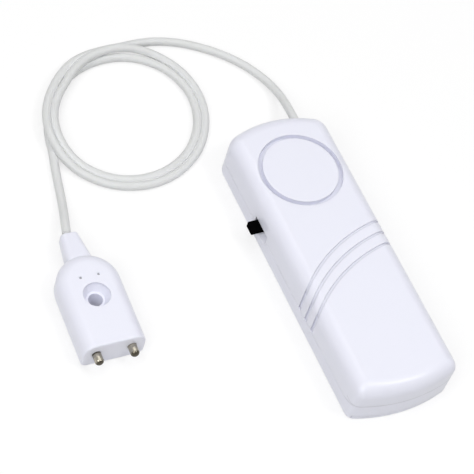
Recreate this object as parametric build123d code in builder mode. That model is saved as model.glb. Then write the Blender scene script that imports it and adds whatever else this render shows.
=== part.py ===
from build123d import *
from math import cos, sin, tan, pi, radians, degrees, sqrt, dist
import os

# Water level alarm: a flat battery alarm, a coiled two-core cable and a probe with two pins.
# The alarm lies on its back: origin at the middle of the back face, +Y to the cable end, +Z out
# of the front. The probe lies beside it, and the cable is coiled between them.
os.makedirs("parts", exist_ok=True)

# Alarm case
case_width = 31.06
case_length = 93.0
case_height = 14.4
top_arch = 3.92          # rise of the arched end where the cable comes out
bottom_arch = 2.74       # rise of the arched end at the batteries
top_corner = 4.9
bottom_corner = 2.6
shoulder = 4.0           # soft edge round the front face
base_round = 0.6
wall = 1.6
ceiling = 1.8
floor = 1.6
seam_height = 4.8        # height of the joint between the two shells
seam_end_height = 6.7    # and of the same joint round the lower end
seam_slope = 4.5         # length over which it climbs, along the side walls
seam_gap = 0.12          # shadow line at the joint
lip_height = 0.9         # tongue of the rear shell inside the front shell
lip_play = 0.1

# Sounder
ring_down = 19.95        # from the upper end of the case
ring_outer = 24.65
ring_width = 1.35
ring_depth = 1.5
chamber_diameter = 19.0
membrane = 1.2
plate_diameter = 20.4
plate_thickness = 0.25
ceramic_diameter = 14.0
ceramic_thickness = 0.2
seat_rib = 2.4           # wide enough to back the ring groove
seat_rib_height = 1.3
seat_play = 0.25

# Three curved grooves across the front
groove_count = 3
groove_radius = 50.5
groove_x = 21.4          # common middle line of the three arcs
groove_up = 1.3          # middle of the upper arc, from the lower end of the case
groove_pitch = 3.8
groove_width = 0.85
groove_depth = 0.45

# Slide switch in the left wall
switch_down = 30.75      # from the upper end of the case
slot_length = 7.5
slot_height = 2.7
slot_ramp = 1.1          # how far the lower lip of the slot slopes down to the outside
knob_length = 3.4
knob_height = 2.1
knob_reach = 3.0         # how far the knob stands out of the wall
knob_travel = 2.7
switch_length = 8.6
switch_depth = 3.7
switch_height = 3.6
switch_sheet = 0.3
switch_base_depth = 1.0
knob_play = 0.15
switch_gap = 0.33        # between the switch can and the case wall
terminal_pitch = 2.5
terminal_width = 0.6
terminal_sheet = 0.3

# Circuit board
board_bottom = 2.8
board_thickness = 1.2
board_play = 0.93        # between the board and the side walls
board_down = 24.5        # from the upper end of the case
board_length = 24.4
post_diameter = 4.4
post_inset = 2.7         # middle of a post from the side of the board
post_high = -3.2         # posts, from the upper edge of the board
post_middle = -13.4      # the post beside the switch
post_low = -21.2
board_shank = 1.8
board_head = 3.4
board_head_height = 1.2
board_pilot_depth = 2.2

# Parts on the circuit board, their places from the middle of its upper edge
chip_place = (-2.6, -13.2)
chip_diameter = 9.0
chip_height = 1.8
drum_place = (6.8, -10.5)
drum_diameter = 8.0
drum_neck = 3.4
drum_flange = 1.0
drum_height = 6.0
transistor_place = (8.2, -19.8)
transistor_size = 4.6
leg_pitch = 1.3
leg_width = 0.45
leg_height = 2.0
capacitor_place = (-2.6, -21.4)
capacitor_diameter = 5.0
capacitor_height = 7.0
resistor_places = [(-8.6, -18.0), (3.0, -18.1), (3.0, -22.4)]
resistor_length = 3.4
resistor_diameter = 1.8
lead_diameter = 0.9
lead_bend = 1.3
core_places = [(4.8, -1.8), (7.0, -1.8)]
plate_lead_place = (-5.6, -6.0)
ceramic_lead_place = (-2.4, -3.4)
battery_lead_places = [(-6.5, -23.2), (7.0, -23.2)]
lead_drop = 2.5          # how far the sounder leads hang straight down
solder_angle = 33.0      # place of the lead on the brass plate, from straight down

# Case screws, from the back
upper_screw_inset = 5.43  # from the inner side wall
upper_screw_down = 6.5   # from the upper end of the case
lower_screw_inset = 3.03
lower_screw_up = 31.9    # from the lower end of the case
column_diameter = 5.2
screw_shank = 2.0
screw_hole = 2.3
pilot_play = 0.1
screw_head = 3.8
head_recess = 4.2
head_depth = 2.0
head_height = 1.4
screw_reach = 5.5        # length of the screw in the front shell

# Battery compartment
cell_diameter = 11.6
cell_height = 5.4
cell_cap = 9.4           # the smaller pole of a cell
cell_cap_height = 0.6
cell_play = 0.25
cell_pitch = 12.6
cell_row_up = 21.5       # row of two cells, from the lower end of the case
contact_sheet = 0.3
running_gap = 0.3        # between the sliding door and the cells
bridge_width = 6.0
tab_width = 2.2
tab_play = 0.3
tab_rise = 1.2
lead_run = 2.4           # how far a battery lead runs straight on from its tab
lead_clear = 0.6         # between a battery lead and a screw column
lead_shift = 1.9         # how much further in the left lead runs
deck = 1.2
block_play = 0.73        # between the battery block and the front shell
block_top = 28.3         # both ends of the block, from the lower end of the case
block_end = 3.9
block_step = 1.1         # the block's foot stops short of its end

# Battery door
door_thickness = 1.5
door_inset = 0.93        # side edge of the door, from the inner side wall
door_tongue = 1.4        # how far the sliding tongues stand out on each side
tongue_thickness = 0.75
tongue_play = 0.12
door_play = 0.2
latch_half = 4.0
latch_reach = 2.0
grip_count = 4
grip_pitch = 2.0
grip_width = 0.8
grip_depth = 0.4
grip_length = 13.0
grip_up = 7.0            # middle of the grip grooves, from the lower end of the case

# Cable
cable_diameter = 2.5
core_diameter = 1.0
exit_inset = 5.03        # middle of the cable, from the side of the case
exit_z = 6.2
exit_play = 0.2
exit_down = 0.5          # where the free cable begins, from the upper end of the case
jacket_down = 11.0       # where the jacket is stripped inside the case
core_run = 6.0           # how far the cores run straight on
tie_width = 2.4
tie_sheet = 1.0
tie_block = 3.4
saddle_down = 5.1        # from the upper end of the case
saddle_thickness = 1.2
saddle_width = 4.2
saddle_play = 0.1

# Probe, in its own frame: pin end at Y 0, neck towards +Y, back face at Z 0
probe_x = -69.3
probe_y = -8.0
probe_turn = -2.0
probe_width = 17.8
probe_straight = 20.5    # length of the straight sides before the domed end
probe_height = 9.0
probe_shoulder = 3.6
probe_base_round = 2.0
probe_end_round = 0.5
probe_wall = 2.2
probe_roof = 2.0
cover_thickness = 1.4
cover_ledge = 1.5
cover_play = 0.1
neck_start = 26.5
neck_tip = 37.3
neck_z = 4.5
neck_root_width = 7.4
neck_root_height = 6.6
neck_tip_width = 5.0
neck_tip_height = 4.8
neck_round = 1.4
neck_play = 0.1
mount_hole_y = 15.3
mount_hole = 4.0
mount_sink = 7.5
mount_sink_wall = 0.8
mount_step = 5.2
mount_step_depth = 2.8
mount_column = 9.8
dimple_y = 21.3
dimple_half = 2.55
dimple_diameter = 0.8
dimple_depth = 0.3
pin_pitch = 10.0
pin_diameter = 2.5
pin_z = 5.0
pin_reach = 3.2
pin_inside = 6.5
pin_block = 5.0
pin_flange = 3.2
pin_flange_thickness = 0.8
pin_play = 0.05
core_detour = 5.9        # how far the cores pass beside the screw column
probe_stub = 38.3        # where the free cable begins, just outside the neck
probe_jacket_end = 24.5

# Coil of the cable
coil_x = -35.0
coil_y = 65.8
coil_radius = 24.2
coil_pitch = 3.0
layer_step = 3.1
coil_start = 10.0        # degrees clockwise from the side of the probe
coil_turns = 800.0 / 360.0
coil_quarters = 9

half_width = case_width / 2
half_length = case_length / 2
inner_half = half_width - wall
inner_top = case_height - ceiling

# Places along the case, from its two ends
ring_y = half_length - ring_down
switch_y = half_length - switch_down
board_high = half_length - board_down
board_low = board_high - board_length
saddle_y = half_length - saddle_down
exit_stub = half_length - exit_down
jacket_end = half_length - jacket_down
exit_x = half_width - exit_inset
groove_y = groove_up - half_length
cell_row_y = cell_row_up - half_length
block_top_y = block_top - half_length
block_end_y = block_end - half_length
grip_y = grip_up - half_length
slope_low_y = bottom_arch - half_length
slope_high_y = slope_low_y + seam_slope
upper_screw = (upper_screw_inset - inner_half, half_length - upper_screw_down)
column_x = inner_half - lower_screw_inset
screw_points = [upper_screw] + [
    (side * column_x, lower_screw_up - half_length) for side in (1, -1)]
block_half = inner_half - block_play
door_half = inner_half - door_inset
board_width = 2 * (inner_half - board_play)
board_top = board_bottom + board_thickness
post_x = board_width / 2 - post_inset
switch_z = board_top + switch_height / 2
slot_bottom = switch_z - slot_height / 2
slot_top = switch_z + slot_height / 2


def on_board(place):
    """Point of the case for a place on the board, given from the middle of its upper edge."""
    return (place[0], board_high + place[1])


board_screw_points = [on_board((-post_x, post_low)), on_board((post_x, post_high))]
post_points = board_screw_points + [on_board((post_x, post_low)), on_board((-post_x, post_middle))]


def case_outline(height, inset):
    """Case outline with two arched ends, drawn in by inset, on the plane at height."""
    half = half_width - inset
    top_radius = (top_arch**2 + half_width**2) / (2 * top_arch)
    bottom_radius = (bottom_arch**2 + half_width**2) / (2 * bottom_arch)
    top_y = half_length - top_radius + sqrt((top_radius - inset) ** 2 - half**2)
    bottom_y = -half_length + bottom_radius - sqrt((bottom_radius - inset) ** 2 - half**2)
    with BuildSketch(Plane.XY.offset(height)) as outline:
        with BuildLine():
            Line((-half, bottom_y), (-half, top_y))
            ThreePointArc((-half, top_y), (0, half_length - inset), (half, top_y))
            Line((half, top_y), (half, bottom_y))
            ThreePointArc((half, bottom_y), (0, -half_length + inset), (-half, bottom_y))
        make_face()
        fillet(outline.vertices().group_by(Axis.Y)[-1], max(top_corner - inset, 0.4))
        fillet(outline.vertices().group_by(Axis.Y)[0], max(bottom_corner - inset, 0.4))
    return outline.sketch


def seam_region(lift, upper):
    """Everything over, or under, the joint between the shells when that line is raised by lift."""
    edge = case_height + 5 if upper else -1
    far = half_length + 5
    with BuildPart() as region:
        with BuildSketch(Plane.YZ.offset(-half_width - 1)):
            with BuildLine():
                Polyline(
                    (-far, seam_end_height + lift), (slope_low_y, seam_end_height + lift),
                    (slope_high_y, seam_height + lift), (far, seam_height + lift),
                    (far, edge), (-far, edge), close=True,
                )
            make_face()
        extrude(amount=case_width + 2)
    return region.part


def wire_path(points, radius):
    """Straight runs joined by tangent arcs, with no arc larger than its runs allow."""
    radii = []
    for a, b, c in zip(points, points[1:], points[2:]):
        before, after = Vector(*b) - Vector(*a), Vector(*c) - Vector(*b)
        turn = radians(before.get_angle(after))
        radii.append(min(radius, 0.45 * min(before.length, after.length) / tan(turn / 2)))
    with BuildLine() as path:
        FilletPolyline(*points, radius=radii)
    return path.line


def round_wire(path, diameter):
    """Round wire swept along a path."""
    with BuildPart() as wire:
        with BuildSketch(Plane(origin=path @ 0, z_dir=path % 0)):
            Circle(diameter / 2)
        sweep(path=path)
    return wire.part


def groove_blade(index):
    """Blade that cuts one curved groove, from above the front down to the joint."""
    centre = (groove_x, groove_y - index * groove_pitch)
    with BuildPart() as blade:
        with BuildSketch(Plane.XY.offset(seam_height)):
            with Locations(centre):
                Circle(groove_radius + groove_width / 2)
                Circle(groove_radius - groove_width / 2, mode=Mode.SUBTRACT)
            with Locations((0, centre[1] + groove_radius)):
                Rectangle(case_width + 4, 2 * groove_radius, mode=Mode.INTERSECT)
        extrude(amount=case_height)
    return blade.part


# Front shell: arched tray with soft shoulders, sounder ring and three curved grooves
with BuildPart() as shell_cavity:
    extrude(case_outline(seam_height, wall), amount=inner_top - seam_height)
    fillet(shell_cavity.faces().sort_by(Axis.Z)[-1].edges(), shoulder - wall)

with BuildPart() as groove_floor:
    extrude(case_outline(0, groove_depth), amount=case_height - groove_depth)
    fillet(groove_floor.faces().sort_by(Axis.Z)[-1].edges(), shoulder - groove_depth)

with BuildPart() as groove_blades:
    for index in range(groove_count):
        add(groove_blade(index))
    add(groove_floor.part, mode=Mode.SUBTRACT)

# Rebate of the front shell and, smaller, the tongue of the rear shell that stands in it
with BuildPart() as rebate:
    extrude(case_outline(floor, wall / 2), amount=seam_end_height + lip_height + 1 - floor)
    add(seam_region(lip_height + lip_play, True), mode=Mode.SUBTRACT)

with BuildPart() as tongue:
    with BuildSketch(Plane.XY.offset(seam_height - lip_height)):
        add(case_outline(0, wall / 2 + lip_play))
        add(case_outline(0, wall), mode=Mode.SUBTRACT)
    extrude(amount=seam_end_height + 1)
    add(seam_region(lip_height, True), mode=Mode.SUBTRACT)

with BuildPart() as front_shell:
    extrude(case_outline(seam_height, 0), amount=case_height - seam_height)
    fillet(front_shell.faces().sort_by(Axis.Z)[-1].edges(), shoulder)
    add(shell_cavity.part, mode=Mode.SUBTRACT)
    add(rebate.part, mode=Mode.SUBTRACT)
    add(seam_region(seam_gap, False), mode=Mode.SUBTRACT)
    add(groove_blades.part, mode=Mode.SUBTRACT)
    # Ring round the sounder
    with BuildSketch(Plane.XY.offset(case_height)):
        with Locations((0, ring_y)):
            Circle(ring_outer / 2)
            Circle(ring_outer / 2 - ring_width, mode=Mode.SUBTRACT)
    extrude(amount=-ring_depth, mode=Mode.SUBTRACT)
    # Seat of the sounder plate and the air chamber over it
    with BuildSketch(Plane.XY.offset(inner_top)):
        with Locations((0, ring_y)):
            Circle(plate_diameter / 2 + seat_play + seat_rib)
            Circle(plate_diameter / 2 + seat_play, mode=Mode.SUBTRACT)
    extrude(amount=-seat_rib_height)
    with BuildSketch(Plane.XY.offset(inner_top)):
        with Locations((0, ring_y)):
            Circle(chamber_diameter / 2)
    extrude(amount=ceiling - membrane, mode=Mode.SUBTRACT)
    # Screw columns
    with BuildSketch(Plane.XY.offset(seam_height)):
        with Locations(*screw_points):
            Circle(column_diameter / 2)
    extrude(amount=inner_top - seam_height + 0.2)
    with BuildSketch(Plane.XY.offset(seam_height)):
        with Locations(*screw_points):
            Circle(screw_shank / 2 + pilot_play / 2)
    extrude(amount=screw_reach + 0.5, mode=Mode.SUBTRACT)
    # Slot of the switch, in the left wall
    with BuildSketch(Plane.YZ.offset(-half_width - 1)):
        with Locations((switch_y, (seam_height + slot_top) / 2)):
            Rectangle(slot_length, slot_top - seam_height)
    extrude(amount=wall + 1.5, mode=Mode.SUBTRACT)
    # Hole of the cable, in the arched end
    with BuildSketch(Plane.XZ.offset(-half_length - 1)):
        with Locations((exit_x, exit_z)):
            Circle(cable_diameter / 2 + exit_play)
    extrude(amount=top_arch + wall + 3, mode=Mode.SUBTRACT)
front_shell.part.label = "front_shell"

# Rear shell: shallow tray with the battery block, screw columns and board posts
cell_points = [
    (-cell_pitch / 2, cell_row_y),
    (cell_pitch / 2, cell_row_y),
    (0, cell_row_y - cell_pitch * sqrt(3) / 2),
]
cell_bottom = door_thickness + running_gap
cell_top = cell_bottom + cell_height
pocket_top = cell_top + contact_sheet
deck_top = pocket_top + deck
bridge_middle = ((cell_points[1][0] + cell_points[2][0]) / 2,
                 (cell_points[1][1] + cell_points[2][1]) / 2)
top_tab = (cell_points[0][0], cell_row_y + cell_diameter / 2 - 0.9)
side_tab = (cell_diameter / 2 + contact_sheet / 2 + 0.05, cell_points[2][1])
tongue_bottom = door_thickness - tongue_thickness
opening_length = block_top + 4
opening_middle = block_top_y - opening_length / 2

with BuildPart() as rear_shell:
    extrude(case_outline(0, 0), amount=seam_end_height)
    fillet(rear_shell.faces().sort_by(Axis.Z)[0].edges(), base_round)
    extrude(case_outline(floor, wall), amount=seam_end_height, mode=Mode.SUBTRACT)
    add(seam_region(0, True), mode=Mode.SUBTRACT)
    add(tongue.part)
    # Battery block: joined to the side walls under the seam, narrower inside the front shell
    with BuildSketch(Plane.XY.offset(cell_bottom)):
        with Locations((0, (block_top_y + block_end_y + block_step) / 2)):
            Rectangle(2 * (inner_half + wall / 2), block_top_y - block_end_y - block_step)
    extrude(amount=seam_height - cell_bottom)
    with BuildSketch(Plane.XY.offset(cell_bottom)) as block_plan:
        with Locations((0, (block_top_y + block_end_y) / 2)):
            Rectangle(2 * block_half, block_top_y - block_end_y)
        fillet(block_plan.vertices().group_by(Axis.Y)[0], 2.5)
    extrude(amount=deck_top - cell_bottom)
    # Opening in the floor and under the end wall, and grooves for the tongues of the door
    with BuildSketch(Plane.XY):
        with Locations((0, opening_middle)):
            Rectangle(2 * (door_half + door_play), opening_length)
    extrude(amount=door_thickness + tongue_play, mode=Mode.SUBTRACT)
    with BuildSketch(Plane.XY):
        with Locations((0, (block_top_y + block_end_y) / 2)):
            Rectangle(2 * (door_half + door_play), block_top_y - block_end_y)
    extrude(amount=cell_bottom, mode=Mode.SUBTRACT)
    with BuildSketch(Plane.XY.offset(tongue_bottom - tongue_play)):
        with Locations((0, opening_middle)):
            Rectangle(2 * (door_half + door_tongue + door_play), opening_length)
    extrude(amount=tongue_thickness + 2 * tongue_play, mode=Mode.SUBTRACT)
    # Recess for the latch of the door
    with BuildSketch(Plane.XY.offset(tongue_bottom - tongue_play)):
        with Locations((0, block_top_y + latch_reach / 2)):
            Rectangle(2 * (latch_half + door_play), latch_reach + 2 * door_play)
    extrude(amount=floor, mode=Mode.SUBTRACT)
    # Pockets of the three cells and the channel of the bridge between two of them
    with BuildSketch(Plane.XY.offset(cell_bottom)):
        with Locations(*cell_points):
            Circle(cell_diameter / 2 + cell_play)
    extrude(amount=pocket_top - cell_bottom, mode=Mode.SUBTRACT)
    with BuildSketch(Plane.XY.offset(cell_top)):
        with Locations(bridge_middle):
            Rectangle(cell_pitch, bridge_width + 2 * cell_play, rotation=60)
    extrude(amount=contact_sheet, mode=Mode.SUBTRACT)
    # Slits for the tabs of the upper contact and of the side contact
    with BuildSketch(Plane.XY.offset(pocket_top)):
        with Locations(top_tab):
            Rectangle(tab_width + tab_play, contact_sheet + tab_play)
    extrude(amount=deck, mode=Mode.SUBTRACT)
    with BuildSketch(Plane.XY.offset(cell_bottom)):
        with Locations(side_tab):
            Rectangle(contact_sheet + tab_play, tab_width + tab_play)
    extrude(amount=deck_top - cell_bottom, mode=Mode.SUBTRACT)
    # Columns of the case screws, with their heads sunk in the back
    with BuildSketch(Plane.XY):
        with Locations(*screw_points):
            Circle(column_diameter / 2)
    extrude(amount=seam_height)
    with BuildSketch(Plane.XY):
        with Locations(*screw_points):
            Circle(screw_hole / 2)
    extrude(amount=seam_height, mode=Mode.SUBTRACT)
    with BuildSketch(Plane.XY):
        with Locations(*screw_points):
            Circle(head_recess / 2)
    extrude(amount=head_depth, mode=Mode.SUBTRACT)
    # Posts under the circuit board, two of them drilled for screws
    with BuildSketch(Plane.XY.offset(floor)):
        with Locations(*post_points):
            Circle(post_diameter / 2)
    extrude(amount=board_bottom - floor)
    with BuildSketch(Plane.XY.offset(board_bottom - board_pilot_depth)):
        with Locations(*board_screw_points):
            Circle(board_shank / 2 + pilot_play / 2)
    extrude(amount=board_pilot_depth, mode=Mode.SUBTRACT)
    # Saddle that carries the cable behind the end wall
    with BuildSketch(Plane.XZ.offset(-saddle_y - saddle_thickness / 2)):
        with Locations((exit_x, (floor + exit_z + 1.2) / 2)):
            Rectangle(saddle_width, exit_z + 1.2 - floor)
        with Locations((exit_x, exit_z)):
            Circle(cable_diameter / 2 + saddle_play, mode=Mode.SUBTRACT)
        with Locations((exit_x, exit_z + 2)):
            Rectangle(cable_diameter + 2 * saddle_play, 4, mode=Mode.SUBTRACT)
    extrude(amount=saddle_thickness)
    # Rim cut away at the slot of the switch and under the hole of the cable
    rim_top = seam_height + lip_height + 1
    with BuildSketch(Plane.XZ.offset(-switch_y - slot_length / 2)):
        with BuildLine():
            Polyline(
                (-half_width - 1, rim_top),
                (-half_width - 1, slot_bottom - slot_ramp * (1 + wall) / wall),
                (-inner_half, slot_bottom), (1 - inner_half, slot_bottom),
                (1 - inner_half, rim_top), close=True,
            )
        make_face()
    extrude(amount=slot_length, mode=Mode.SUBTRACT)
    with BuildSketch(Plane.XZ.offset(-half_length - 1)):
        with Locations((exit_x, seam_height + lip_height)):
            Rectangle(cable_diameter + 2 * exit_play + 0.4, 2 * lip_height)
    extrude(amount=half_length + 1 - saddle_y - saddle_thickness, mode=Mode.SUBTRACT)
rear_shell.part.label = "rear_shell"

# Contact plate under the first two cells, let into the inner face of the door
with BuildPart() as door_contact:
    with BuildSketch(Plane.XY.offset(door_thickness)) as door_plate:
        with Locations((0, cell_row_y)):
            Rectangle(cell_pitch + bridge_width, bridge_width)
        fillet(door_plate.vertices(), 1.5)
    extrude(amount=-contact_sheet)
door_contact.part.label = "door_contact"

# Battery door: sliding plate with tongues, a latch and grip grooves, flush with the end wall
with BuildPart() as door_region:
    with BuildSketch(Plane.XY):
        with Locations((0, opening_middle - door_play)):
            Rectangle(2 * door_half, opening_length)
    extrude(amount=door_thickness)
    with BuildSketch(Plane.XY.offset(tongue_bottom)):
        with Locations((0, opening_middle - 2 * door_play)):
            Rectangle(2 * (door_half + door_tongue), opening_length)
    extrude(amount=tongue_thickness)

with BuildPart() as battery_door:
    extrude(case_outline(0, 0), amount=door_thickness)
    fillet(battery_door.faces().sort_by(Axis.Z)[0].edges(), base_round)
    add(door_region.part, mode=Mode.INTERSECT)
    with BuildSketch(Plane.XY.offset(tongue_bottom)):
        with Locations((0, block_top_y - door_play + latch_reach / 2 - 0.5)):
            Rectangle(2 * latch_half, latch_reach + 1)
    extrude(amount=tongue_thickness)
    with BuildSketch(Plane.XY):
        with Locations((0, grip_y)):
            with GridLocations(0, grip_pitch, 1, grip_count):
                SlotOverall(grip_length, grip_width)
    extrude(amount=grip_depth, mode=Mode.SUBTRACT)
    add(door_contact.part, mode=Mode.SUBTRACT)
battery_door.part.label = "battery_door"

# Button cells, the middle one upside down
with BuildPart() as button_cells:
    for index, point in enumerate(cell_points):
        can_base = cell_bottom if index != 1 else cell_bottom + cell_cap_height
        cap_base = cell_top - cell_cap_height if index != 1 else cell_bottom
        with BuildSketch(Plane.XY.offset(can_base)):
            with Locations(point):
                Circle(cell_diameter / 2)
        extrude(amount=cell_height - cell_cap_height)
        with BuildSketch(Plane.XY.offset(cap_base)):
            with Locations(point):
                Circle(cell_cap / 2)
        extrude(amount=cell_cap_height)
button_cells.part.label = "button_cells"

# Upper contacts: the bridge, the contact with a tab through the deck, and the side leaf
with BuildPart() as battery_contacts:
    with BuildSketch(Plane.XY.offset(cell_top)) as bridge:
        with Locations(bridge_middle):
            Rectangle(cell_pitch, bridge_width, rotation=60)
        fillet(bridge.vertices(), 1.0)
    extrude(amount=contact_sheet)
    with BuildSketch(Plane.XY.offset(cell_top)):
        with Locations(cell_points[0]):
            Circle(bridge_width / 2 + 1)
        with Locations((top_tab[0], (cell_row_y + top_tab[1]) / 2 + contact_sheet / 4)):
            Rectangle(tab_width, top_tab[1] - cell_row_y + contact_sheet / 2)
    extrude(amount=contact_sheet)
    with BuildSketch(Plane.XY.offset(cell_top)):
        with Locations(top_tab):
            Rectangle(tab_width, contact_sheet)
    extrude(amount=deck_top + tab_rise - cell_top)
    with BuildSketch(Plane.XY.offset(cell_bottom + 1)):
        with Locations(side_tab):
            Rectangle(contact_sheet, tab_width)
    extrude(amount=deck_top + tab_rise - cell_bottom - 1)
battery_contacts.part.label = "battery_contacts"

# Circuit board with the holes of its screws and of the switch terminals
switch_face = -inner_half + switch_gap
switch_back = switch_face + switch_depth
terminal_x = switch_back + 0.6
terminal_points = [(terminal_x, switch_y + k * terminal_pitch) for k in (-1, 0, 1)]
with BuildPart() as circuit_board:
    with BuildSketch(Plane.XY.offset(board_bottom)) as board_plan:
        with Locations((0, (board_low + board_high) / 2)):
            Rectangle(board_width, board_high - board_low)
        fillet(board_plan.vertices(), 1.0)
        with Locations(*board_screw_points):
            Circle(board_shank / 2 + 0.2, mode=Mode.SUBTRACT)
        with Locations(*terminal_points):
            Circle(terminal_width / 2 + 0.15, mode=Mode.SUBTRACT)
    extrude(amount=board_thickness)
circuit_board.part.label = "circuit_board"

# Slide switch: steel can open at the back, insulating base, three terminals and the knob
with BuildPart() as switch_can:
    with BuildSketch(Plane.XY.offset(board_top)):
        with Locations(((switch_face + switch_back) / 2, switch_y)):
            Rectangle(switch_depth, switch_length)
    extrude(amount=switch_height)
    with BuildSketch(Plane.YZ.offset(switch_face + switch_sheet)):
        with Locations((switch_y, board_top + switch_height / 2)):
            Rectangle(switch_length - 2 * switch_sheet, switch_height - 2 * switch_sheet)
    extrude(amount=switch_depth, mode=Mode.SUBTRACT)
    with BuildSketch(Plane.YZ.offset(switch_face - 1)):
        with Locations((switch_y, switch_z)):
            Rectangle(knob_length + knob_travel + 2 * knob_play, knob_height + 2 * knob_play)
    extrude(amount=2, mode=Mode.SUBTRACT)
switch_can.part.label = "switch_can"

with BuildPart() as switch_base:
    with BuildSketch(Plane.YZ.offset(switch_back - switch_base_depth)):
        with Locations((switch_y, board_top + switch_height / 2)):
            Rectangle(switch_length - 2 * switch_sheet, switch_height - 2 * switch_sheet)
    extrude(amount=switch_base_depth)
switch_base.part.label = "switch_base"

with BuildPart() as switch_terminals:
    for point in terminal_points:
        with BuildSketch(Plane.XZ.offset(-point[1] - terminal_width / 2)):
            with BuildLine():
                Polyline(
                    (switch_back, switch_z), (point[0] + terminal_sheet / 2, switch_z),
                    (point[0] + terminal_sheet / 2, board_bottom - 0.5),
                    (point[0] - terminal_sheet / 2, board_bottom - 0.5),
                    (point[0] - terminal_sheet / 2, switch_z - terminal_sheet),
                    (switch_back, switch_z - terminal_sheet), close=True,
                )
            make_face()
        extrude(amount=terminal_width)
switch_terminals.part.label = "switch_terminals"

knob_y = switch_y + knob_travel / 2
carriage_length = switch_length - 2 * switch_sheet - knob_travel - 2 * knob_play
carriage_depth = switch_depth - switch_sheet - switch_base_depth - 2 * knob_play
with BuildPart() as switch_knob:
    with BuildSketch(Plane.YZ.offset(switch_face + switch_sheet + knob_play)):
        with Locations((knob_y, board_top + switch_height / 2)):
            Rectangle(carriage_length, switch_height - 2 * switch_sheet - 2 * knob_play)
    extrude(amount=carriage_depth)
    with BuildSketch(Plane.YZ.offset(-half_width - knob_reach)) as knob_face:
        with Locations((knob_y, switch_z)):
            Rectangle(knob_length, knob_height)
        fillet(knob_face.vertices(), 0.25)
    extrude(amount=half_width + knob_reach + switch_face + switch_sheet + knob_play + 0.5)
    chamfer(switch_knob.faces().sort_by(Axis.X)[0].edges(), 0.2)
switch_knob.part.label = "switch_knob"

# Board screws, heads on the board
with BuildPart() as board_screws:
    with BuildSketch(Plane.XY.offset(board_top)):
        with Locations(*board_screw_points):
            Circle(board_head / 2)
    extrude(amount=board_head_height)
    chamfer(board_screws.faces().group_by(Axis.Z)[-1].edges(), 0.35)
    with BuildSketch(Plane.XY.offset(board_bottom - board_pilot_depth + 0.3)):
        with Locations(*board_screw_points):
            Circle(board_shank / 2)
    extrude(amount=board_top - board_bottom + board_pilot_depth)
board_screws.part.label = "board_screws"

# Case screws, heads sunk in the back
with BuildPart() as case_screws:
    with BuildSketch(Plane.XY.offset(head_depth - head_height)):
        with Locations(*screw_points):
            Circle(screw_head / 2)
    extrude(amount=head_height)
    chamfer(case_screws.faces().group_by(Axis.Z)[0].edges(), 0.35)
    with BuildSketch(Plane.XY.offset(head_depth - 0.2)):
        with Locations(*screw_points):
            Circle(screw_shank / 2)
    extrude(amount=seam_height + screw_reach - head_depth + 0.2)
    chamfer(case_screws.faces().group_by(Axis.Z)[-1].edges(), 0.5)
case_screws.part.label = "case_screws"

# Timing chip under its drop of black resin
with BuildPart() as chip_drop:
    with BuildSketch(Plane.XY.offset(board_top)):
        with Locations(on_board(chip_place)):
            Circle(chip_diameter / 2)
    extrude(amount=chip_height)
    fillet(chip_drop.faces().sort_by(Axis.Z)[-1].edges(), chip_height * 0.8)
chip_drop.part.label = "chip_drop"

# Step-up coil: drum core with its winding
with BuildPart() as coil_core:
    for base, size, height in (
        (board_top, drum_diameter, drum_flange),
        (board_top + drum_flange, drum_neck, drum_height - 2 * drum_flange),
        (board_top + drum_height - drum_flange, drum_diameter, drum_flange),
    ):
        with BuildSketch(Plane.XY.offset(base)):
            with Locations(on_board(drum_place)):
                Circle(size / 2)
        extrude(amount=height)
coil_core.part.label = "coil_core"

with BuildPart() as coil_winding:
    with BuildSketch(Plane.XY.offset(board_top + drum_flange)):
        with Locations(on_board(drum_place)):
            Circle(drum_diameter / 2 - 0.4)
            Circle(drum_neck / 2, mode=Mode.SUBTRACT)
    extrude(amount=drum_height - 2 * drum_flange)
coil_winding.part.label = "coil_winding"

# Drive transistor: flat-faced body on three legs
transistor_point = on_board(transistor_place)
with BuildPart() as drive_transistor:
    with BuildSketch(Plane.XY.offset(board_top + leg_height)):
        with Locations(transistor_point):
            Circle(transistor_size / 2)
        with Locations((transistor_point[0], transistor_point[1] - transistor_size / 2)):
            Rectangle(transistor_size, transistor_size * 0.4, mode=Mode.SUBTRACT)
    extrude(amount=transistor_size)
    with BuildSketch(Plane.XY.offset(board_top)):
        with Locations(transistor_point):
            with GridLocations(leg_pitch, 0, 3, 1):
                Rectangle(leg_width, leg_width)
    extrude(amount=leg_height)
drive_transistor.part.label = "drive_transistor"

# Electrolytic capacitor with its rolled groove
capacitor_x, capacitor_y = on_board(capacitor_place)
with BuildPart() as capacitor:
    with BuildSketch(Plane.XZ.offset(-capacitor_y)):
        with BuildLine():
            Polyline(
                (capacitor_x, board_top),
                (capacitor_x + capacitor_diameter / 2, board_top),
                (capacitor_x + capacitor_diameter / 2, board_top + 1.0),
                (capacitor_x + capacitor_diameter / 2 - 0.3, board_top + 1.3),
                (capacitor_x + capacitor_diameter / 2, board_top + 1.6),
                (capacitor_x + capacitor_diameter / 2, board_top + capacitor_height - 0.3),
                (capacitor_x + capacitor_diameter / 2 - 0.3, board_top + capacitor_height),
                (capacitor_x, board_top + capacitor_height), close=True,
            )
        make_face()
    revolve(axis=Axis((capacitor_x, capacitor_y, 0), (0, 0, 1)))
capacitor.part.label = "capacitor"

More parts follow.
